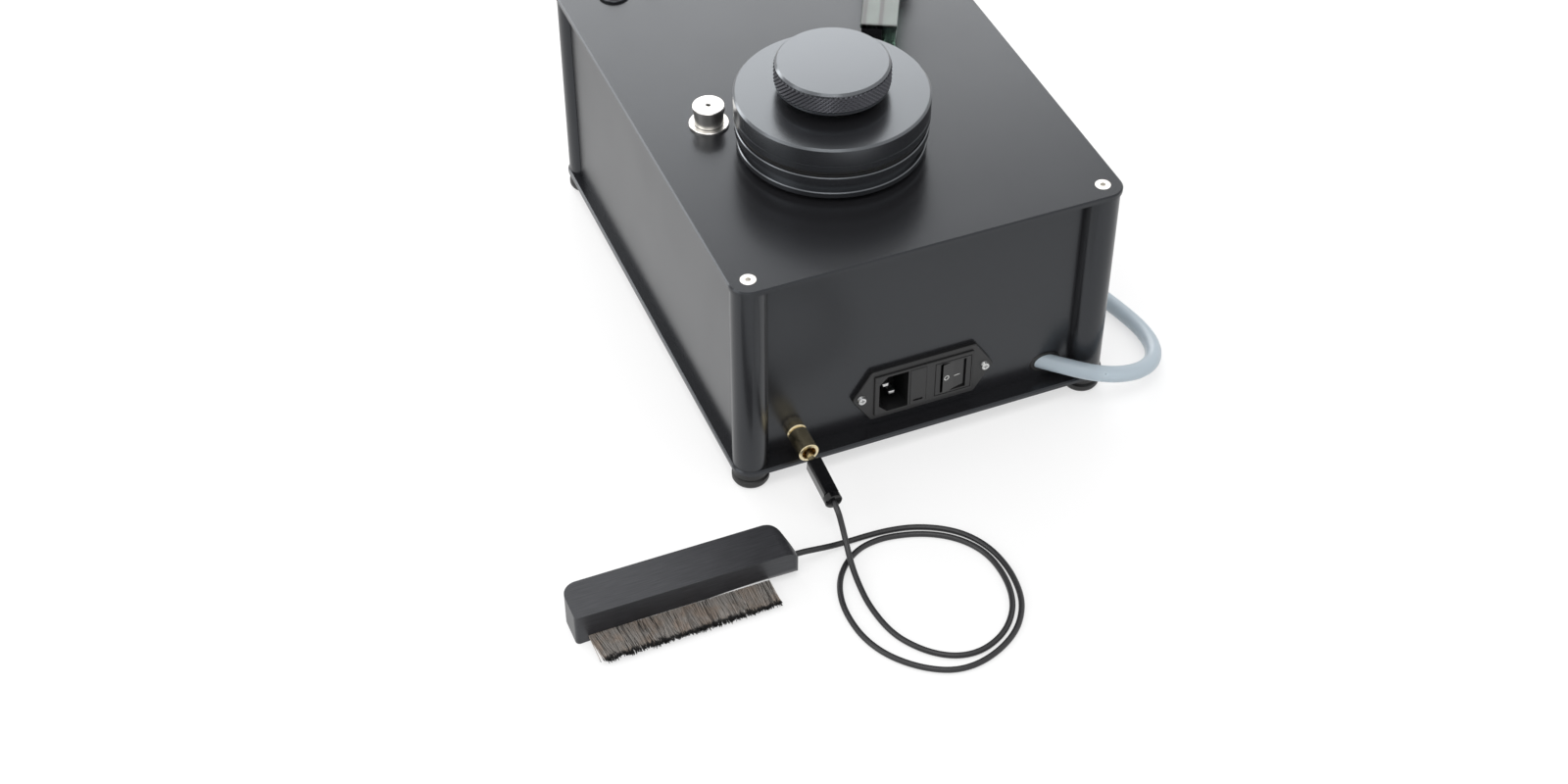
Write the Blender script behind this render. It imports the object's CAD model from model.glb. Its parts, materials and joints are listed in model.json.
# %% [markdown]
# # Record cleaning machine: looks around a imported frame
#
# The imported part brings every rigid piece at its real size, in metres, with +Z up and +Y towards
# the machine's rear. This notebook gives each piece its finish and builds what the plain solids
# leave out: the brush's hair, the two cords, the knurl, the switch's marks and the earth
# terminal's spring contact.

import json
from math import cos, pi, radians, sin

import bmesh
import bpy
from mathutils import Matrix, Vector
from mathutils.bvhtree import BVHTree


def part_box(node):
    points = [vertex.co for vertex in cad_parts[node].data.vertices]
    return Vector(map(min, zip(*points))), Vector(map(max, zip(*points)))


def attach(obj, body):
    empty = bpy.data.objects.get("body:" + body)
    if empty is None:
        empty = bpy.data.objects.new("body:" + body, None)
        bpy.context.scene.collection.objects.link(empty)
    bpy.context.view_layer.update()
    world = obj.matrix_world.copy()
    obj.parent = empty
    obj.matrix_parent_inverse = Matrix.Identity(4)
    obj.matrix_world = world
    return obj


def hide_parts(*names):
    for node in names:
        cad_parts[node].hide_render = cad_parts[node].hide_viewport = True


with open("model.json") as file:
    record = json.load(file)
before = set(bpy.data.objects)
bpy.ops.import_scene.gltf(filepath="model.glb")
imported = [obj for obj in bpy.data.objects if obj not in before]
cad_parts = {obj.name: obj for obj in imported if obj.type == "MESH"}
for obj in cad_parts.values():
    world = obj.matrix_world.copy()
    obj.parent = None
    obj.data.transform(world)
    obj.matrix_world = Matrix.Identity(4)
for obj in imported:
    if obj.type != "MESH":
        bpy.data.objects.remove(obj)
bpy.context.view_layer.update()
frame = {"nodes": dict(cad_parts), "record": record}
nodes = frame["nodes"]
MM = 0.001
print("pieces in the frame:", len(nodes))


# %% Helper for new objects
def put(name, data):
    """New object with this data, linked into the scene."""
    thing = bpy.data.objects.new(name, data)
    bpy.context.scene.collection.objects.link(thing)
    return thing


# %% [markdown]
# ## Camera
#
# A long lens stands behind the machine's left and looks down on its rear corner. Blender's camera
# looks along its own -Z, so its rotation is a tilt about X and then a turn about Z. A target
# constraint could aim it too, but two angles are easier to read and to repeat.

# %% Camera
CAMERA_AT = (0.45563, 1.04370, 0.99227)
CAMERA_AZIMUTH = 157.729
CAMERA_ELEVATION = 43.703
CAMERA_LENS = 54.83          # millimetres
SENSOR_WIDTH = 36.0          # millimetres
NEAREST = 0.05               # metres: nothing stands closer to the lens

lens = bpy.data.cameras.new("camera")
lens.lens = CAMERA_LENS
lens.sensor_width = SENSOR_WIDTH
lens.clip_start = NEAREST
camera = put("camera", lens)
camera.location = CAMERA_AT
camera.rotation_euler = (radians(90 - CAMERA_ELEVATION), 0, radians(CAMERA_AZIMUTH))
bpy.context.scene.camera = camera
print("camera at", CAMERA_AT)

# %% [markdown]
# ## The two cords
#
# The brush's earth lead is a thin, limp cord that leaves its plug, drops to the floor, makes two
# loose turns and ends in the handle. The drain hose is thicker, and curves from the rear panel
# round the machine's corner to lie beside the case.
#
# A cord could be a chain of bones or a simulated cloth strip. Both are at rest here, so each is
# one smooth NURBS spline with a round section. Its control points are where a hand would pinch
# the cord to lay it down, and the spline bends softly between them.

# %% Routes, in millimetres
LEAD_DIAMETER = 3.4 * MM
HOSE_DIAMETER = 10.0 * MM
LEAD_FLOOR = 1.7             # the lead's middle when it lies on the floor
HOSE_FLOOR = 5.0             # and the hose's
LEAD_ROUTE = [
    (79.5, 194.44, 24.47),
    (79.5, 204.28, 23.35),
    (79.3, 210.4, 15.8),
    (80.0, 218.4, 9.2),
    (81.5, 228.0, 4.8),
    (83.0, 241.0, 2.4),
    (84.0, 260.0, LEAD_FLOOR),
    (80.5, 282.5, LEAD_FLOOR),
    (71.2, 297.8, LEAD_FLOOR),
    (60.5, 307.4, LEAD_FLOOR),
    (49.2, 311.8, LEAD_FLOOR),
    (36.8, 311.2, LEAD_FLOOR),
    (23.2, 304.6, LEAD_FLOOR),
    (13.3, 293.9, LEAD_FLOOR),
    (7.8, 282.3, LEAD_FLOOR),
    (5.3, 267.3, LEAD_FLOOR),
    (6.6, 251.0, LEAD_FLOOR),
    (12.6, 238.2, LEAD_FLOOR),
    (22.4, 228.0, LEAD_FLOOR),
    (35.8, 220.6, LEAD_FLOOR),
    (50.6, 216.8, LEAD_FLOOR),
    (61.0, 216.2, LEAD_FLOOR),
    (71.6, 218.2, LEAD_FLOOR),
    (82.2, 224.6, LEAD_FLOOR),
    (91.1, 235.0, LEAD_FLOOR),
    (96.3, 248.1, LEAD_FLOOR),
    (97.9, 262.5, LEAD_FLOOR),
    (96.2, 279.2, LEAD_FLOOR),
    (89.9, 294.3, LEAD_FLOOR),
    (79.4, 306.9, LEAD_FLOOR),
    (67.6, 315.4, LEAD_FLOOR),
    (56.8, 319.3, LEAD_FLOOR),
    (44.4, 319.2, LEAD_FLOOR),
    (29.8, 314.4, LEAD_FLOOR),
    (16.8, 306.0, LEAD_FLOOR),
    (7.6, 294.4, LEAD_FLOOR),
    (2.6, 282.0, LEAD_FLOOR),
    (0.6, 264.4, LEAD_FLOOR),
    (3.2, 246.6, LEAD_FLOOR),
    (10.9, 231.8, LEAD_FLOOR),
    (22.4, 221.6, LEAD_FLOOR),
    (36.8, 214.6, LEAD_FLOOR),
    (51.0, 211.7, LEAD_FLOOR),
    (64.0, 211.0, LEAD_FLOOR),
    (77.5, 211.8, 2.6),
    (89.0, 213.8, 5.6),
    (98.5, 215.6, 9.0),
    (107.0, 216.0, 10.5),
    (114.9, 216.0, 10.5),
]
DRAIN_ROUTE = [
    (-74.44, 135.46, 25.6),
    (-93.65, 154.0, 25.6),
    (-105.6, 162.1, 24.4),
    (-120.2, 165.7, 21.4),
    (-136.0, 162.9, 17.2),
    (-149.1, 153.7, 12.6),
    (-157.4, 139.4, 8.8),
    (-159.9, 121.6, 6.4),
    (-157.0, 100.8, HOSE_FLOOR),
    (-150.4, 77.7, HOSE_FLOOR),
    (-145.0, 52.3, HOSE_FLOOR),
    (-142.3, 26.4, HOSE_FLOOR),
    (-143.2, 0.4, HOSE_FLOOR),
    (-147.4, -23.2, HOSE_FLOOR),
]


# %% Lay the cords
def lay_cord(name, route, diameter):
    """One NURBS spline along a route in millimetres, with a round section."""
    line = bpy.data.curves.new(name, "CURVE")
    line.dimensions = "3D"
    line.bevel_depth = diameter / 2
    line.bevel_resolution = 8
    line.resolution_u = 12
    line.use_fill_caps = True
    spline = line.splines.new("NURBS")
    spline.points.add(len(route) - 1)
    for point, place in zip(spline.points, route):
        point.co = (*[value * MM for value in place], 1)
    spline.order_u = 3
    spline.use_endpoint_u = True
    return put(name, line)


lead = lay_cord("lead", LEAD_ROUTE, LEAD_DIAMETER)
hose = lay_cord("hose", DRAIN_ROUTE, HOSE_DIAMETER)
print("lead points:", len(LEAD_ROUTE), "hose points:", len(DRAIN_ROUTE))

# %% [markdown]
# ## Nodes with one helper
#
# Materials and Geometry Nodes are both trees of nodes. One small function adds a node, sets its
# options, and gives each input either a value or another node's output. Colours are written as
# the hex codes that a paint program shows, so a second one turns them to linear light.


# %% Helpers for colours and nodes
def linear(code):
    """sRGB hex colour as linear red, green, blue and alpha."""
    parts = [int(code[i : i + 2], 16) / 255 for i in (1, 3, 5)]
    return (*[p / 12.92 if p <= 0.04045 else ((p + 0.055) / 1.055) ** 2.4 for p in parts], 1.0)


def add(tree, kind, inputs=(), **options):
    """Add a node. Its inputs, named or in order, are values, sockets, or nodes with one output."""
    node = tree.nodes.new(kind)
    for key, value in options.items():
        setattr(node, key, value)
    for key, value in inputs.items() if isinstance(inputs, dict) else enumerate(inputs):
        source = value.outputs[0] if isinstance(value, bpy.types.Node) else value
        if isinstance(source, bpy.types.NodeSocket):
            tree.links.new(source, node.inputs[key])
        else:
            node.inputs[key].default_value = source
    return node


MATH = "ShaderNodeMath"      # the kind that both sorts of tree use most
print("paper white is", [round(c, 3) for c in linear("#F5F5F5")])

# %% [markdown]
# ## Floor, room and lights
#
# The machine stands on white paper in a white room. Satin black metal has little colour of its
# own, so what is seen in it is the room: the paper makes the side and rear panels grey, and a
# tall soft box beyond the machine's front makes its top grey and lets the platter stand dark in
# front of itself. A smaller box to the left of it draws the bright line on the top's left edge.
# Two weaker ones, above and at the left, lift the screws, the brush and the left panel.
#
# A picture of a studio could light it all, but four plain boxes are easier to move and to name.
# Paper lit by lamps alone would turn grey at this light level. Light Path gives the lens and
# the reflections plain white instead, and leaves a share of the lit paper in, which keeps the
# machine's soft shadow.

# %% Floor
FLOOR_SIZE = 12.0
PAPER_GLOW = 0.6             # share of plain white that the lens sees in the paper

bpy.ops.mesh.primitive_plane_add(size=FLOOR_SIZE)
floor = bpy.context.object
floor.name = "floor"
paper = bpy.data.materials.new("white paper sweep")
paper.use_nodes = True
sheet = paper.node_tree
lit = sheet.nodes["Principled BSDF"]
lit.inputs["Base Color"].default_value = linear("#F5F5F5")
lit.inputs["Roughness"].default_value = 0.9
lit.inputs["Specular IOR Level"].default_value = 0.1
rays = add(sheet, "ShaderNodeLightPath").outputs
seen = add(sheet, MATH, [rays["Is Camera Ray"], PAPER_GLOW], operation="MULTIPLY")
mirrored = add(sheet, MATH, [rays["Is Glossy Ray"], rays["Is Transmission Ray"]], operation="MAXIMUM")
glow = add(sheet, MATH, [seen, mirrored], operation="MAXIMUM")
white = add(sheet, "ShaderNodeEmission", {"Strength": 1.0})
mix = add(sheet, "ShaderNodeMixShader", [glow, lit, white])
sheet.links.new(mix.outputs[0], sheet.nodes["Material Output"].inputs["Surface"])
floor.data.materials.append(paper)
print("floor:", FLOOR_SIZE, "m square")

# %% Room and lights
ROOM_LIGHT = 1.0
FRONT_BOX = {"at": (-0.27, -2.4, 1.18), "size": (2.7, 1.55), "power": 46}
EDGE_BOX = {"at": (1.75, -2.1, 0.85), "size": (0.9, 0.9), "power": 13}
TOP_BOX = {"at": (0.5, 0.9, 2.6), "size": (1.2, 1.2), "power": 16}
LEFT_BOX = {"at": (2.2, 0.2, 1.2), "size": (1.4, 1.4), "power": 12}
AIM = Vector((0, 0, 0.12))   # the middle of the machine, which every box faces


def soft_box(name, at, size, power):
    """Rectangular soft light, placed and sized in metres, with its power in watts."""
    box = bpy.data.lights.new(name, "AREA")
    box.shape = "RECTANGLE"
    box.size, box.size_y = size
    box.energy = power
    light = put(name, box)
    light.location = at
    light.rotation_euler = (AIM - Vector(at)).to_track_quat("-Z", "Y").to_euler()


soft_box("front_box", **FRONT_BOX)
soft_box("edge_box", **EDGE_BOX)
soft_box("top_box", **TOP_BOX)
soft_box("left_box", **LEFT_BOX)
room = bpy.data.worlds.new("white room")
room.use_nodes = True
room.node_tree.nodes["Background"].inputs["Color"].default_value = (1, 1, 1, 1)
room.node_tree.nodes["Background"].inputs["Strength"].default_value = ROOM_LIGHT
bpy.context.scene.world = room
bpy.context.scene.view_settings.view_transform = "Standard"

# %% [markdown]
# ## A recipe for grained finishes
#
# Nearly every surface here is even from afar and uneven close by: blasted metal, moulded nylon,
# drawn rubber. One recipe covers them. Fine noise, as wide as the real grain, moves the colour
# between two neighbours and lifts the surface. Broad noise moves the gloss, as handling does.
# Both read the object's own coordinates, so the grain stays on a piece that moves.
#
# Values that are the same all over stay on the shader's own sockets.

# %% The recipe
PATCH = 45.0 * MM            # between glossier and duller places
NOISE_SPAN = {"From Min": 0.3, "From Max": 0.7}     # nearly all of a noise texture lies in it


def shader_of(name, sockets):
    """New material: its tree, and its Principled shader with plain values on its sockets."""
    material = bpy.data.materials.new(name)
    material.use_nodes = True
    shader = material.node_tree.nodes["Principled BSDF"]
    for key, value in sockets.items():
        shader.inputs[key].default_value = value
    return material, material.node_tree, shader


def grained(name, dark, light, gloss, grain, relief, spread=0.04, stretch=(1, 1, 1), **sockets):
    """Finish with a grain in millimetres, its relief in millimetres and two hex colours."""
    values = {"Base Color": linear(light), "Roughness": gloss}
    values.update({key.replace("_", " "): value for key, value in sockets.items()})
    material, tree, shader = shader_of(name, values)
    place = add(tree, "ShaderNodeTexCoord").outputs["Object"]
    laid = add(tree, "ShaderNodeMapping", {"Vector": place, "Scale": stretch}).outputs[0]
    sizes = {"Scale": 1 / (grain * MM), "Detail": 3.0}
    fine = add(tree, "ShaderNodeTexNoise", {"Vector": laid, **sizes}).outputs[0]
    sizes = {"Scale": 1 / PATCH, "Detail": 2.0}
    broad = add(tree, "ShaderNodeTexNoise", {"Vector": place, **sizes}).outputs[0]
    depth = add(tree, "ShaderNodeMapRange", {"Value": fine, **NOISE_SPAN})
    colour = add(tree, "ShaderNodeMix", {0: depth, 6: linear(dark), 7: linear(light)}, data_type="RGBA")
    around = {"To Min": gloss - spread, "To Max": gloss + spread}
    sheen = add(tree, "ShaderNodeMapRange", {"Value": broad, **NOISE_SPAN, **around})
    lift = add(tree, "ShaderNodeBump", {"Height": fine, "Strength": 0.35, "Distance": relief * MM})
    tree.links.new(colour.outputs[2], shader.inputs["Base Color"])
    tree.links.new(sheen.outputs[0], shader.inputs["Roughness"])
    tree.links.new(lift.outputs[0], shader.inputs["Normal"])
    return material


# %% [markdown]
# ## Blasted and anodised aluminium
#
# The plates, panels and posts are aluminium, bead-blasted and anodised black. The blasting leaves
# a fine even grain with no direction, and the clear oxide over the dye gives a satin, slightly
# blue sheen. Real grit marks are 0.1 mm wide, which is finer than a pixel, so the grain here is
# 0.4 mm.

# %% Blasted finish
# Blasting breaks up the highlight, so a plate shows a soft patch of light with no edge.
blasted_black = grained(
    "bead-blasted black anodised aluminium", "#18181A", "#202022", 0.25, 0.4, 0.02, 0.015,
    Specular_Tint=(0.87, 0.93, 1.0, 1.0), Specular_IOR_Level=0.47,
)
print("finish:", blasted_black.name)

# %% [markdown]
# ## Turned and anodised aluminium
#
# The platter and the label clamp are turned on a lathe before they are anodised. A turned face is
# smoother than a blasted one: it mirrors its surroundings more sharply, and its feed marks draw
# the highlight out round the centre. Anisotropy could do that, but it needs a tangent on every
# face. A noise in one dimension, read by distance from the axis, draws real rings instead.

# %% Recipe for a turned finish
OXIDE_IOR = 2.1              # clear oxide has 1.77, and the metal under it adds to its gloss
RING = 0.9 * MM              # feed marks are 0.1 mm apart, too fine to show, so they are wider here
RING_RELIEF = 0.01 * MM
RING_GLOSS = 0.02            # how far the rings' roughness swings to each side


def turned_black(name, shade, gloss, centre):
    """Lathe-turned and anodised: clear oxide over dye, with fine rings round a centre."""
    material, tree, shader = shader_of(
        name,
        {
            "Base Color": linear(shade),
            "Roughness": gloss,
            "IOR": OXIDE_IOR,
            "Specular Tint": (0.88, 0.94, 1.0, 1.0),
        },
    )
    place = add(tree, "ShaderNodeTexCoord").outputs["Object"]
    to_axis = (-centre.x, -centre.y, 0)
    apart = add(tree, "ShaderNodeMapping", {"Vector": place, "Location": to_axis})
    flat = add(tree, "ShaderNodeVectorMath", [apart, (1, 1, 0)], operation="MULTIPLY")
    reach = add(tree, "ShaderNodeVectorMath", [flat], operation="LENGTH").outputs["Value"]
    sizes = {"Scale": 1 / RING, "Detail": 2.0}
    rings = add(tree, "ShaderNodeTexNoise", {"W": reach, **sizes}, noise_dimensions="1D").outputs[0]
    around = {"To Min": gloss - RING_GLOSS, "To Max": gloss + RING_GLOSS}
    sheen = add(tree, "ShaderNodeMapRange", {"Value": rings, **around})
    lift = add(tree, "ShaderNodeBump", {"Height": rings, "Strength": 0.1, "Distance": RING_RELIEF})
    tree.links.new(sheen.outputs[0], shader.inputs["Roughness"])
    tree.links.new(lift.outputs[0], shader.inputs["Normal"])
    return material


# %% Turned finishes
# The disc is a soft mirror: pale where it mirrors the tall box, near black where it mirrors the
# knob. The knob had a finer cut, so it is smoother, and its dye took a little lighter.
platter_low, platter_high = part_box("platter")
platter_middle = (platter_low + platter_high) / 2
turned_disc = turned_black("turned black anodised aluminium", "#18181A", 0.25, platter_middle)
turned_knob = turned_black("fine-turned black anodised aluminium", "#222225", 0.22, platter_middle)
print("platter turns about", [round(v, 4) for v in platter_middle[:2]])

# %% [markdown]
# ## Bright metals
#
# Stainless steel for the vent cap, its neck and the buttons: turned, then polished, so the grain
# is very fine and runs round the piece. Zinc plate on the small screws is duller. The earth
# terminal is brass with a thin gold plating: pale where it is polished, browner where it is dull.

# %% Metals
METALS = {
    # Turned and polished, so broad soft highlights run round it. Bright, a little warm.
    "polished_steel": grained(
        "turned stainless steel", "#D6D3CE", "#EAE8E4", 0.33, 0.7, 0.01, stretch=(1, 1, 4), Metallic=1.0
    ),
    # Zinc from a plating bath: whiter and less sharp than bare steel.
    "plain_steel": grained("zinc-plated steel", "#B9BABC", "#DCDCDA", 0.28, 0.8, 0.02, Metallic=1.0),
    # Bare milled aluminium: pale and satin, with faint cutter marks.
    "raw_aluminium": grained("machined aluminium", "#C8C9CB", "#DBDCDD", 0.33, 0.8, 0.02, Metallic=1.0),
    # A thin gold plating is pale where it faces the light and brown where it mirrors the case.
    "gold_brass": grained("gold-plated brass", "#CBBB93", "#F0E3C2", 0.24, 0.9, 0.01, Metallic=1.0),
    # Pressed from powder, so its pores make it dull and dark for a bronze.
    "bushing_bronze": grained("oil-filled bronze", "#8B6F45", "#A98A58", 0.36, 0.5, 0.03, Metallic=1.0),
    # Stacked sheets under varnish: fine level lines, brown-grey between them.
    "core_steel": grained(
        "varnished steel laminations", "#3A3938", "#55524E", 0.45, 0.7, 0.1, stretch=(1, 1, 0.1)
    ),
}
print("metals:", sorted(METALS))

# %% [markdown]
# ## Plastics and rubber
#
# The power module is glass-filled nylon with a moulded grain, and its rocker is smoother
# polycarbonate. Feet, seal, mat and grommet are rubber, which is duller and a little softer at
# its edges. The lead's jacket is flexible PVC: satin, with faint marks from its die.

# %% Plastics and rubber
PLASTICS = {
    # Moulded against spark-eroded steel: an even fine grain, so its black is slightly grey.
    "black_plastic": grained("moulded black nylon", "#111112", "#19191A", 0.42, 0.35, 0.04),
    # Moulded against polished steel: a deeper black with a clear highlight.
    "gloss_black": grained("black polycarbonate", "#0D0D0E", "#131314", 0.22, 0.6, 0.01),
    # Pressed and dusted with talc: dull, and greyer than the plastics.
    "black_rubber": grained("black rubber", "#121212", "#1C1C1C", 0.55, 0.6, 0.05),
    # Undyed and rotomoulded: off-white and waxy, with a slight orange peel.
    "natural_plastic": grained("natural polypropylene", "#CDCCC4", "#DCDBD4", 0.42, 1.2, 0.03),
    # Drawn through a die: satin, dark grey rather than black.
    "lead_jacket": grained("flexible black PVC", "#1B1B1D", "#262628", 0.38, 0.5, 0.02),
    # Upright fibres swallow light from above and catch it at a slant, so the edges glow softly.
    "velvet": grained(
        "black velvet pile", "#0C0C0E", "#19191B", 0.9, 0.25, 0.2, Sheen_Weight=0.6, Sheen_Roughness=0.4
    ),
    # Lacquer over copper and glass cloth: deep green, lighter where copper lies under it.
    "board_green": grained("green solder mask", "#14573A", "#1B6B48", 0.3, 2.0, 0.04),
}

# ABS from a polished tool: near black, with sharp highlights on its flats.
sleeve_black = grained("gloss black ABS sleeve", "#08080A", "#0D0D0F", 0.12, 0.8, 0.01)

# Stain hides the beech's colour but not its pores, which are long streaks along the handle. Oil
# gives it a soft sheen.
stained_wood = grained(
    "black stained and oiled beech", "#1D1D1F", "#2E2E31", 0.36, 0.7, 0.06, stretch=(0.05, 1, 1),
    Specular_Tint=(0.92, 0.95, 1.0, 1.0),
)
print("plastics:", sorted(PLASTICS))

# %% [markdown]
# ## Clear and milky plastics
#
# The hose is silicone: milky, a little blue, and lighter along its edges, where the wall is seen
# through its thickness. The arm's clear channel is acrylic and the fuse is glass. Real
# transmission, with each one's IOR, gives them their edges. Alpha would only fade them out.


# %% Clear finishes
CLOUD = 6 * MM               # between clearer and hazier places


def clear(name, tint, gloss, transmission, ior, haze=0.05):
    """Clear or milky plastic whose haze varies over a few millimetres."""
    material, tree, shader = shader_of(
        name,
        {
            "Base Color": linear(tint),
            "Roughness": gloss,
            "Transmission Weight": transmission,
            "IOR": ior,
        },
    )
    place = add(tree, "ShaderNodeTexCoord").outputs["Object"]
    sizes = {"Scale": 1 / CLOUD, "Detail": 2.0}
    cloud = add(tree, "ShaderNodeTexNoise", {"Vector": place, **sizes}).outputs[0]
    around = {"To Min": max(gloss - haze, 0), "To Max": gloss + haze}
    sheen = add(tree, "ShaderNodeMapRange", {"Value": cloud, **around})
    tree.links.new(sheen.outputs[0], shader.inputs["Roughness"])
    return material


CLEAR = {
    # Fumed silica clouds it: milky, a little blue, lighter at the edges.
    "silicone": clear("milky silicone", "#B9C6CF", 0.30, 0.35, 1.41),
    # Nearly no colour face on, and pale green where an edge is seen through its length.
    "clear_acrylic": clear("clear acrylic", "#9AB0A5", 0.10, 1.0, 1.49, 0.03),
    # Drawn tube: clear, with bright lines along both sides.
    "fuse_glass": clear("fuse glass", "#E6EAEC", 0.03, 1.0, 1.5, 0.02),
}
print("clear finishes:", sorted(CLEAR))

# %% [markdown]
# ## Dress the pieces
#
# The record names a slot for each piece, and most slots have one finish. A few pieces share a
# slot but are finished by another process: the turned platter and clamp, the wooden handle, the
# plug's glossy sleeve and its gold-plated pin. The pieces could be dressed one by one, but two
# short tables are easier to check against the record.

# %% Finishes by slot, then by piece
FINISHES = {"anodised_black": blasted_black, **METALS, **PLASTICS, **CLEAR}
SPECIAL = {
    "platter": turned_disc,
    "clamp_disc": turned_disc,
    "clamp_knob": turned_knob,
    "brush_handle": stained_wood,
    "plug_body": sleeve_black,
    "plug_pin": METALS["gold_brass"],
}
slots = {entry["node"]: entry["material_slot"] for entry in frame["record"]["subparts"]}
for name, piece in nodes.items():
    finish = SPECIAL.get(name) or FINISHES.get(slots[name])
    for slot in piece.material_slots:
        slot.material = finish or slot.material
lead.data.materials.append(FINISHES["lead_jacket"])
hose.data.materials.append(FINISHES["silicone"])
print("pieces with their own finish:", sorted(SPECIAL))

# %% [markdown]
# ## Pieces that repeat
#
# Hair, knurl and spring leaves are one small shape many times over, so Geometry Nodes make them.
# Each tree has named inputs for its sizes. Its object is evaluated once, and the result is kept
# as a plain mesh, because an exporter doesn't carry instances along.


# %% Helpers for Geometry Nodes
def new_tree(name, sizes):
    """Empty geometry tree with a float or whole-number input for each size."""
    tree = bpy.data.node_groups.new(name, "GeometryNodeTree")
    for label, value in sizes.items():
        kind = "NodeSocketInt" if isinstance(value, int) else "NodeSocketFloat"
        tree.interface.new_socket(label, in_out="INPUT", socket_type=kind).default_value = value
    tree.interface.new_socket("Geometry", in_out="OUTPUT", socket_type="NodeSocketGeometry")
    return tree, tree.nodes.new("NodeGroupInput").outputs


def finish_tree(tree, geometry, material):
    """Realize the instances and set their material, as each tree's last steps."""
    real = add(tree, "GeometryNodeRealizeInstances", {"Geometry": geometry})
    dressed = add(tree, "GeometryNodeSetMaterial", {"Geometry": real, "Material": material})
    tree.links.new(dressed.outputs[0], tree.nodes.new("NodeGroupOutput").inputs[0])


def grow(name, tree, sizes):
    """Run a tree with its sizes and keep what it makes as a plain mesh object."""
    seed = put(name + "_seed", bpy.data.meshes.new(name + "_seed"))
    grower = seed.modifiers.new("grow", "NODES")
    grower.node_group = tree
    for item in tree.interface.items_tree:
        if item.in_out == "INPUT" and item.name in sizes:
            grower[item.identifier] = sizes[item.name]
    live = seed.evaluated_get(bpy.context.evaluated_depsgraph_get())
    mesh = bpy.data.meshes.new_from_object(live)
    mesh.name = name
    bpy.data.objects.remove(seed)
    print(name, "has", len(mesh.polygons), "faces")
    return put(name, mesh)


def shift(piece, by):
    """Move a mesh's points and leave its object at the origin."""
    for vertex in piece.data.vertices:
        vertex.co += by


# %% [markdown]
# ## Brush hair
#
# The hair is goat and carbon fibre set in a slot: grey-brown strands with darker ones among
# them, uneven and blackened at their tips. Particle hair would do, but it can't be exported, so
# a tapered three-sided strand is placed on a grid of roots. Smooth noise along the strip makes
# neighbours lean and end together in tufts. Real hair is 0.1 mm thick. A strand here is 0.4 mm,
# and stands for a few hairs that cling together.

# %% Hair material
# Goat hair is dull and a little warm. Its dark strands are the carbon fibre between them, and
# the tips are dyed black.
WARM_PATCH = 9 * MM          # between greyer and warmer places along the strip
WARMTH = {"From Min": 0.42, "From Max": 0.62}  # of that noise, from greyer to warmer
CARBON = {"From Min": 0.62, "From Max": 0.95}  # of a strand's own chance, from hair to carbon
TIPS = {"From Min": 0.89, "From Max": 0.95}    # of the way along a strand, where it blackens

hair_finish, hair_tree, hair_shader = shader_of(
    "goat hair and carbon fibre", {"Roughness": 0.55, "Specular IOR Level": 0.35, "Sheen Weight": 0.1}
)
shade = add(hair_tree, "ShaderNodeAttribute", attribute_name="shade").outputs["Fac"]
along = add(hair_tree, "ShaderNodeAttribute", attribute_name="along").outputs["Fac"]
place = add(hair_tree, "ShaderNodeTexCoord").outputs["Object"]
patch = add(hair_tree, "ShaderNodeTexNoise", {"Vector": place, "Scale": 1 / WARM_PATCH, "Detail": 2.0})
colour = linear("#96918C")
for value, stretch, paint in (
    (patch, WARMTH, "#94877C"),
    (shade, CARBON, "#2A2624"),
    (along, TIPS, "#0B0A0A"),
):
    share = add(hair_tree, "ShaderNodeMapRange", {"Value": value, **stretch})
    blend = add(hair_tree, "ShaderNodeMix", {0: share, 6: colour, 7: linear(paint)}, data_type="RGBA")
    colour = blend.outputs[2]
hair_tree.links.new(colour, hair_shader.inputs["Base Color"])
print("hair material:", hair_finish.name)

# %% Roots of the hair
hair_low, hair_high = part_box("brush_hair")
handle_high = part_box("brush_handle")[1]
HAIR_SET = 0.4 * MM          # roots below the handle's face
SLOT_ENDS = 0.6 * MM         # length and height of the slot that the roots leave free
SLOT_SIDES = 0.8 * MM
HAIR = {
    "Strip": hair_high.x - hair_low.x - SLOT_ENDS,
    "Height": hair_high.z - hair_low.z - SLOT_SIDES,
    "Reach": hair_high.y - handle_high.y + HAIR_SET,
    "Strand": 0.21 * MM,
    "Columns": 250,
    "Rows": 8,
    "Seed": 7,
}
JITTER = 0.2 * MM            # how far a root strays from its place in the grid
tree, size = new_tree("hair", HAIR)
roots = add(
    tree,
    "GeometryNodeMeshGrid",
    {
        "Size X": size["Strip"],
        "Size Y": size["Height"],
        "Vertices X": size["Columns"],
        "Vertices Y": size["Rows"],
    },
)
jitter = add(
    tree,
    "FunctionNodeRandomValue",
    {0: (-JITTER, -JITTER, 0), 1: (JITTER, JITTER, 0), "Seed": size["Seed"]},
    data_type="FLOAT_VECTOR",
)
roots = add(tree, "GeometryNodeSetPosition", {"Geometry": roots, "Offset": jitter})
print("roots:", HAIR["Columns"] * HAIR["Rows"])

# %% One strand, thinner towards its tip
TIP_SHARE = 0.45             # thickness at the tip as a share of the root's

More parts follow.
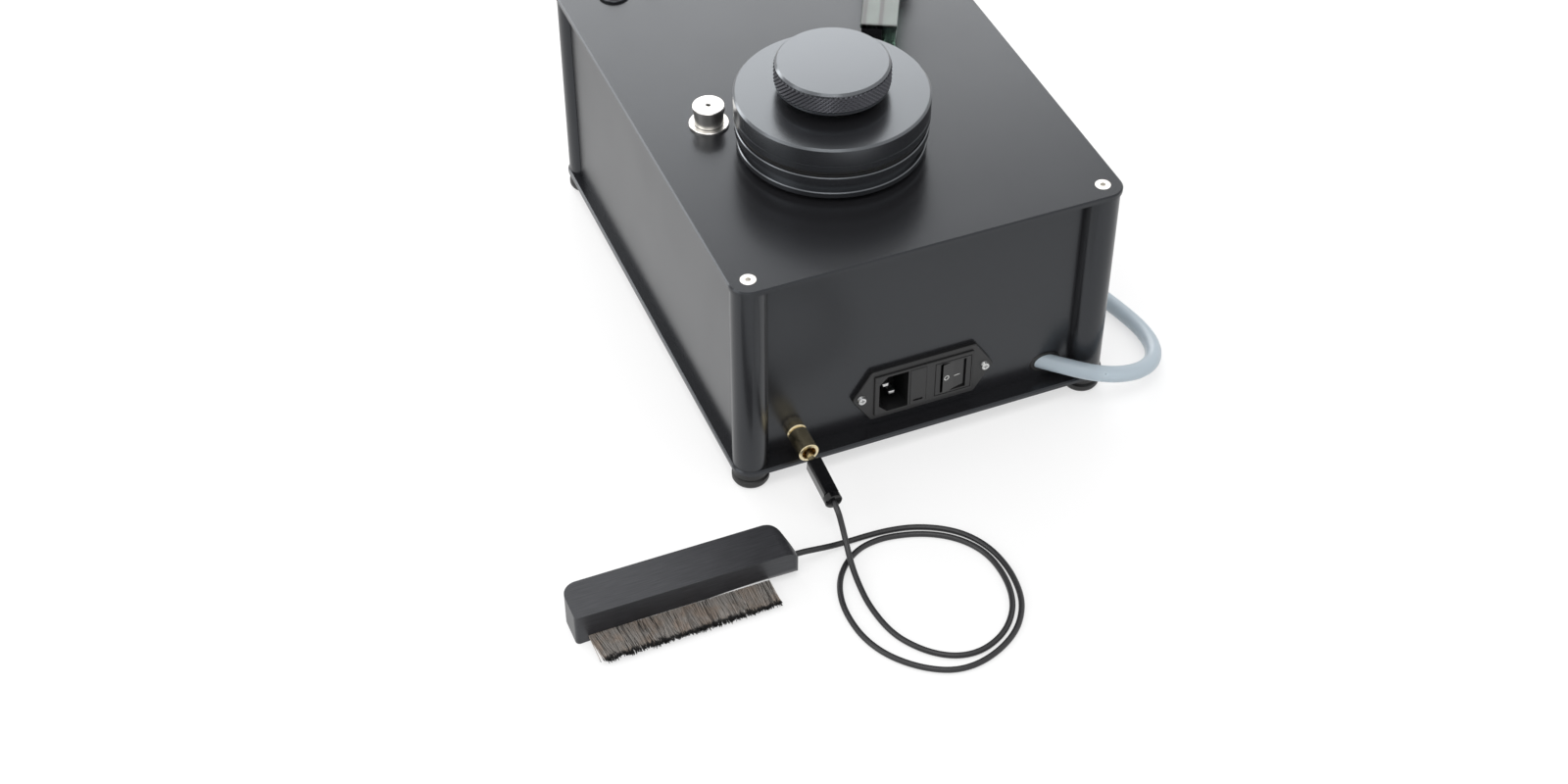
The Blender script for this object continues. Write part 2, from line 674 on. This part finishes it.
spine = add(tree, "GeometryNodeCurvePrimitiveLine")
spine = add(tree, "GeometryNodeResampleCurve", {"Curve": spine, "Count": 5})
way = add(tree, "GeometryNodeSplineParameter").outputs["Factor"]
spine = add(
    tree,
    "GeometryNodeStoreNamedAttribute",
    {"Geometry": spine, "Name": "along", "Value": way},
    data_type="FLOAT",
)
taper = add(tree, "ShaderNodeMapRange", {"Value": way, "To Min": 1.0, "To Max": TIP_SHARE})
spine = add(tree, "GeometryNodeSetCurveRadius", {"Curve": spine, "Radius": taper})
section = add(tree, "GeometryNodeCurvePrimitiveCircle", {"Resolution": 3, "Radius": 1.0})
one_strand = add(tree, "GeometryNodeCurveToMesh", {"Curve": spine, "Profile Curve": section})
print("strand reach:", round(HAIR["Reach"] / MM, 1), "mm")

# %% How far each strand leans and reaches
# Leans are in radians, and reaches are shares of the longest strand. The strip fans out towards
# its far end. Each tuft has a lean and a reach of its own, and each strand strays from its tuft.
TUFT = 4 * MM                # width of a tuft
FAN = -0.15
TUFT_LEAN = 0.55
STRAY = {"To Min": -0.08, "To Max": 0.08}
NOD = {"To Min": -0.03, "To Max": 0.03}        # lean towards the top or the floor
STRIP_REACH = {"To Min": 0.83, "To Max": 0.93} # from one end of the strip to the other
TUFT_REACH = 0.22
OWN_REACH = 0.10

root_at = add(tree, "GeometryNodeInputPosition")
root_x = add(tree, "ShaderNodeSeparateXYZ", [root_at]).outputs["X"]
across = add(tree, MATH, [root_x, size["Strip"]], operation="DIVIDE")
across = add(tree, MATH, [across, 0.5], operation="ADD")
tuft = add(tree, "ShaderNodeTexNoise", {"Vector": root_at, "Scale": 1 / TUFT})
tuft = add(tree, MATH, [tuft, 0.5], operation="SUBTRACT")
chance = []
for step in (1, 2, 3, 4):
    own_seed = add(tree, MATH, [size["Seed"], float(step)], operation="ADD")
    chance.append(add(tree, "FunctionNodeRandomValue", {2: 0.0, 3: 1.0, "Seed": own_seed}).outputs[1])
fan = add(tree, MATH, [across, 2.0], operation="POWER")
stray = add(tree, "ShaderNodeMapRange", {"Value": chance[0], **STRAY})
lean = add(tree, MATH, [fan, FAN, stray], operation="MULTIPLY_ADD")
lean = add(tree, MATH, [tuft, TUFT_LEAN, lean], operation="MULTIPLY_ADD")
nod = add(tree, "ShaderNodeMapRange", {"Value": chance[1], **NOD})
share = add(tree, "ShaderNodeMapRange", {"Value": across, **STRIP_REACH})
share = add(tree, MATH, [tuft, TUFT_REACH, share], operation="MULTIPLY_ADD")
share = add(tree, MATH, [chance[2], OWN_REACH, share], operation="MULTIPLY_ADD")
reach = add(tree, MATH, [size["Reach"], share], operation="MULTIPLY")
print("tufts are about", round(TUFT / MM), "mm wide")

# %% Plant the strands
planted = add(
    tree,
    "GeometryNodeInstanceOnPoints",
    {
        "Points": roots,
        "Instance": one_strand,
        "Rotation": add(tree, "ShaderNodeCombineXYZ", [nod, lean]),
        "Scale": add(tree, "ShaderNodeCombineXYZ", [size["Strand"], size["Strand"], reach]),
    },
)
planted = add(
    tree,
    "GeometryNodeStoreNamedAttribute",
    {"Geometry": planted, "Name": "shade", "Value": chance[3]},
    data_type="FLOAT",
    domain="INSTANCE",
)
turned = add(tree, "GeometryNodeTransform", {"Geometry": planted, "Rotation": (-pi / 2, 0, 0)})
finish_tree(tree, turned, hair_finish)

# %% Hair in its slot
hair = grow("hair", tree, HAIR)
hair_middle = (hair_low + hair_high) / 2
shift(hair, Vector((hair_middle.x, handle_high.y - HAIR_SET, hair_middle.z)))
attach(hair, "case")
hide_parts("brush_hair")

# %% [markdown]
# ## Knurled band
#
# The clamp's knob is gripped by its rim, so a lathe has rolled a diamond knurl round it: two sets
# of slanting ridges that cross. A bump texture would look right from afar, but its edge would
# stay smooth. A grid is bent round into a band instead, and each point is moved out where both
# sets of ridges are high. Real ridges are 1 mm apart. Here they are 2.8 mm, so that they show.

# %% Knurl sizes
knob_low, knob_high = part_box("clamp_knob")
KNOB_RIM = 14.6 * MM         # knob's full height, above its neck
KNURL_MARGIN = 2.0 * MM      # plain edge above and below the band
KNURL_OUT = 0.02 * MM        # grooves of the knurl outside the knob's rim
STEPS = 4.0                  # steps of the grid across a ridge
KNURL = {
    "Radius": (knob_high.x - knob_low.x) / 2 + KNURL_OUT,
    "Height": KNOB_RIM - 2 * KNURL_MARGIN,
    "Depth": 0.7 * MM,
    "Tuck": 0.4 * MM,
    "Around": 72,
    "Rows": 4,
}
tree, size = new_tree("knurl", KNURL)
points_round = add(tree, MATH, [size["Around"], STEPS, 1.0], operation="MULTIPLY_ADD")
points_up = add(tree, MATH, [size["Rows"], STEPS, 1.0], operation="MULTIPLY_ADD")
band = add(
    tree,
    "GeometryNodeMeshGrid",
    {"Size X": 1.0, "Size Y": 1.0, "Vertices X": points_round, "Vertices Y": points_up},
)
print("knurl band:", round(KNURL["Height"] / MM, 1), "mm high")

# %% Ridges
# The flat grid is one unit wide and high. Along it runs the turn round the knob, and up it the
# height. A point is high where the right-hand and the left-hand ridges both are.
spot = add(tree, "ShaderNodeSeparateXYZ", [add(tree, "GeometryNodeInputPosition")]).outputs
turn = add(tree, MATH, [spot["X"], 0.5], operation="ADD")
rise = add(tree, MATH, [spot["Y"], 0.5], operation="ADD")
ridges = add(tree, MATH, [turn, size["Around"]], operation="MULTIPLY")
slope = add(tree, MATH, [rise, size["Rows"]], operation="MULTIPLY")
heights = []
for way_round in ("ADD", "SUBTRACT"):
    crossed = add(tree, MATH, [ridges, slope], operation=way_round)
    heights.append(add(tree, MATH, [crossed, 0.5], operation="PINGPONG"))
height = add(tree, MATH, heights, operation="MINIMUM")
height = add(tree, MATH, [height, 2.0], operation="MULTIPLY")
out = add(tree, MATH, [height, size["Depth"], size["Radius"]], operation="MULTIPLY_ADD")
print("ridges cross", KNURL["Around"], "times round the knob")

# %% Bend the grid into a band
# Its two edges are tucked into the knob, so that no gap shows.
AT_EDGE = 0.001              # share of the band's height that counts as its edge
WELD = 0.01 * MM             # the band's two ends meet closer than this

edge = add(tree, MATH, [rise, 0.5], operation="PINGPONG")
edge = add(tree, MATH, [edge, AT_EDGE], operation="LESS_THAN")
tucked = add(tree, MATH, [edge, size["Tuck"]], operation="MULTIPLY")
out = add(tree, MATH, [out, tucked], operation="SUBTRACT")
up = add(tree, MATH, [rise, size["Height"]], operation="MULTIPLY")
angle = add(tree, MATH, [turn, 2 * pi], operation="MULTIPLY")
flat = add(tree, "ShaderNodeCombineXYZ", {"X": out, "Z": up})
bent = add(tree, "ShaderNodeVectorRotate", {"Vector": flat, "Angle": angle}, rotation_type="Z_AXIS")
band = add(tree, "GeometryNodeSetPosition", {"Geometry": band, "Position": bent})
band = add(tree, "GeometryNodeMergeByDistance", {"Geometry": band, "Distance": WELD})

# Rolled ridges are burnished, so they glint through the black.
knurl_black = grained(
    "knurled black anodised aluminium", "#3C3C40", "#55565B", 0.3, 0.5, 0.01, Metallic=1.0
)
finish_tree(tree, band, knurl_black)

# %% Knurl round the knob
knurl = grow("knurl", tree, KNURL)
shift(knurl, Vector((platter_middle.x, platter_middle.y, knob_high.z - KNOB_RIM + KNURL_MARGIN)))
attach(knurl, "knob")

# %% [markdown]
# ## Spring contact in the earth terminal
#
# The plug's pin is held by six sprung leaves inside the terminal's mouth. Each leaf is a thin
# strip that bows in towards the pin. One leaf could be copied and turned by hand, but then a
# change to it would mean six changes. It is drawn as a curve with a flat section, and a tree
# repeats it round the axis.

# %% One leaf
collar_low, collar_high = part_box("ground_collar")
LEAVES = {
    "Leaves": 6,
    "Width": 1.7 * MM,
    "Thick": 0.25 * MM,
    "Length": 4.6 * MM,
    "Mouth": 3.9 * MM,       # from the axis to a leaf's ends
    "Waist": 2.5 * MM,       # and to the point that pulls its middle in
}
tree, size = new_tree("leaves", LEAVES)
half_way = add(tree, MATH, [size["Length"], 0.5], operation="MULTIPLY")
bow = add(
    tree,
    "GeometryNodeCurveQuadraticBezier",
    {
        "Resolution": 8,
        "Start": add(tree, "ShaderNodeCombineXYZ", {"X": size["Mouth"]}),
        "Middle": add(tree, "ShaderNodeCombineXYZ", {"X": size["Waist"], "Z": half_way}),
        "End": add(tree, "ShaderNodeCombineXYZ", {"X": size["Mouth"], "Z": size["Length"]}),
    },
)
strip = add(
    tree, "GeometryNodeCurvePrimitiveQuadrilateral", {"Width": size["Thick"], "Height": size["Width"]}
)
leaf = add(tree, "GeometryNodeCurveToMesh", {"Curve": bow, "Profile Curve": strip, "Fill Caps": True})
print("leaves:", LEAVES["Leaves"])

# %% Leaves round the axis
axis = add(tree, "GeometryNodeMeshLine", {"Count": size["Leaves"], "Offset": (0, 0, 0)})
spread = add(tree, MATH, [add(tree, "GeometryNodeInputIndex"), 2 * pi], operation="MULTIPLY")
spread = add(tree, MATH, [spread, size["Leaves"]], operation="DIVIDE")
leaves = add(
    tree,
    "GeometryNodeInstanceOnPoints",
    {"Points": axis, "Instance": leaf, "Rotation": add(tree, "ShaderNodeCombineXYZ", {"Z": spread})},
)
turned = add(tree, "GeometryNodeTransform", {"Geometry": leaves, "Rotation": (-pi / 2, 0, 0)})

# Spring bronze under a flash of gold: deeper in colour than the plated brass round it.
spring_bronze = grained(
    "gold-flashed beryllium copper", "#A87430", "#E3AE5C", 0.25, 0.8, 0.01, Metallic=1.0
)
finish_tree(tree, turned, spring_bronze)

# %% Leaves in the mouth
MOUTH_IN = 0.9 * MM          # leaves stand this far inside the mouth
contact = grow("spring_contact", tree, LEAVES)
collar_middle = (collar_low + collar_high) / 2
leaf_end = collar_high.y - MOUTH_IN - LEAVES["Length"]
shift(contact, Vector((collar_middle.x, leaf_end, collar_middle.z)))
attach(contact, "case")

# %% [markdown]
# ## Marks on the rocker
#
# A circle for off and a bar for on are printed on the rocker in white. They could be painted by
# the rocker's material, but then they would blur with its grain. Two thin pads are laid on its
# face instead: a ray finds the face under each point, so they sit on it although it slopes.

# %% Where the marks go
INK_T = 0.06 * MM            # ink above the face, and as much sunk into it
STROKE = 0.5 * MM
OFF_AT = (-14.0 * MM, 39.7 * MM)               # x and z
OFF_R = 1.75 * MM
ON_AT = (-21.2 * MM, 38.8 * MM)
ON_LENGTH = 3.8 * MM
SLIT = 0.2 * STROKE          # the bar's inner loop is nearly shut, so that it prints solid
BEHIND = 0.2                 # metres: a ray starts here, behind the rocker

# Pad-printed ink is flat and a little grey, since the black shows through it.
ink = grained("white pad-printing ink", "#B9BAB8", "#CFCFCD", 0.5, 0.4, 0.01)
rocker_mesh = nodes["switch_rocker"].data
rocker_face = BVHTree.FromPolygons(
    [v.co.copy() for v in rocker_mesh.vertices], [tuple(p.vertices) for p in rocker_mesh.polygons]
)


def on_rocker(x, z, lift):
    """Point above the rocker's face, where a ray from the rear meets it."""
    hit, normal, _, _ = rocker_face.ray_cast(Vector((x, BEHIND, z)), Vector((0, -1, 0)))
    return hit + normal * lift


print("rocker faces to print on:", len(rocker_mesh.polygons))


# %% Print them
def printed(name, inner, outer):
    """Closed pad between two loops of points on the rocker."""
    pad = bmesh.new()
    rings = [
        [pad.verts.new(on_rocker(x, z, lift)) for x, z in loop]
        for loop, lift in ((inner, -INK_T), (inner, INK_T), (outer, INK_T), (outer, -INK_T))
    ]
    for i, ring in enumerate(rings):
        other = rings[(i + 1) % len(rings)]
        for j in range(len(ring)):
            k = (j + 1) % len(ring)
            pad.faces.new((ring[j], ring[k], other[k], other[j]))
    bmesh.ops.recalc_face_normals(pad, faces=pad.faces)
    mesh = bpy.data.meshes.new(name)
    pad.to_mesh(mesh)
    pad.free()
    mesh.materials.append(ink)
    piece = put(name, mesh)
    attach(piece, "rocker")


def circle(at, radius, count=32):
    """Loop of points round a place."""
    turns = [2 * pi * i / count for i in range(count)]
    return [(at[0] + radius * cos(t), at[1] + radius * sin(t)) for t in turns]


def bar(at, length, width):
    """Four corners round a place."""
    corners = ((1, 1), (-1, 1), (-1, -1), (1, -1))
    return [(at[0] + sx * length / 2, at[1] + sz * width / 2) for sx, sz in corners]


printed("off_mark", circle(OFF_AT, OFF_R - STROKE), circle(OFF_AT, OFF_R))
printed("on_mark", bar(ON_AT, ON_LENGTH - STROKE, SLIT), bar(ON_AT, ON_LENGTH, STROKE))
print("off mark is", round(2 * OFF_R / MM, 1), "mm across")

# %% [markdown]
# ## Cords on record
#
# Each cord stands for its plain solid, rides with the case, and says where it leaves, how long it
# is and what is on its far end, so that someone who uses the part can make it hang or move.

LEAD_LENGTH = 0.667          # metres
HOSE_LENGTH = 0.270
CORDS = [
    (lead, "brush_lead", "lead_jacket", LEAD_ROUTE, LEAD_LENGTH, LEAD_DIAMETER, "tool"),
    (hose, "drain_hose", "silicone", DRAIN_ROUTE, HOSE_LENGTH, HOSE_DIAMETER, "fitting"),
]
for cord, solid, slot, route, length, diameter, end in CORDS:
    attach(cord, "case")
    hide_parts(solid)
print("cords:", [cord.name for cord, *_ in CORDS])
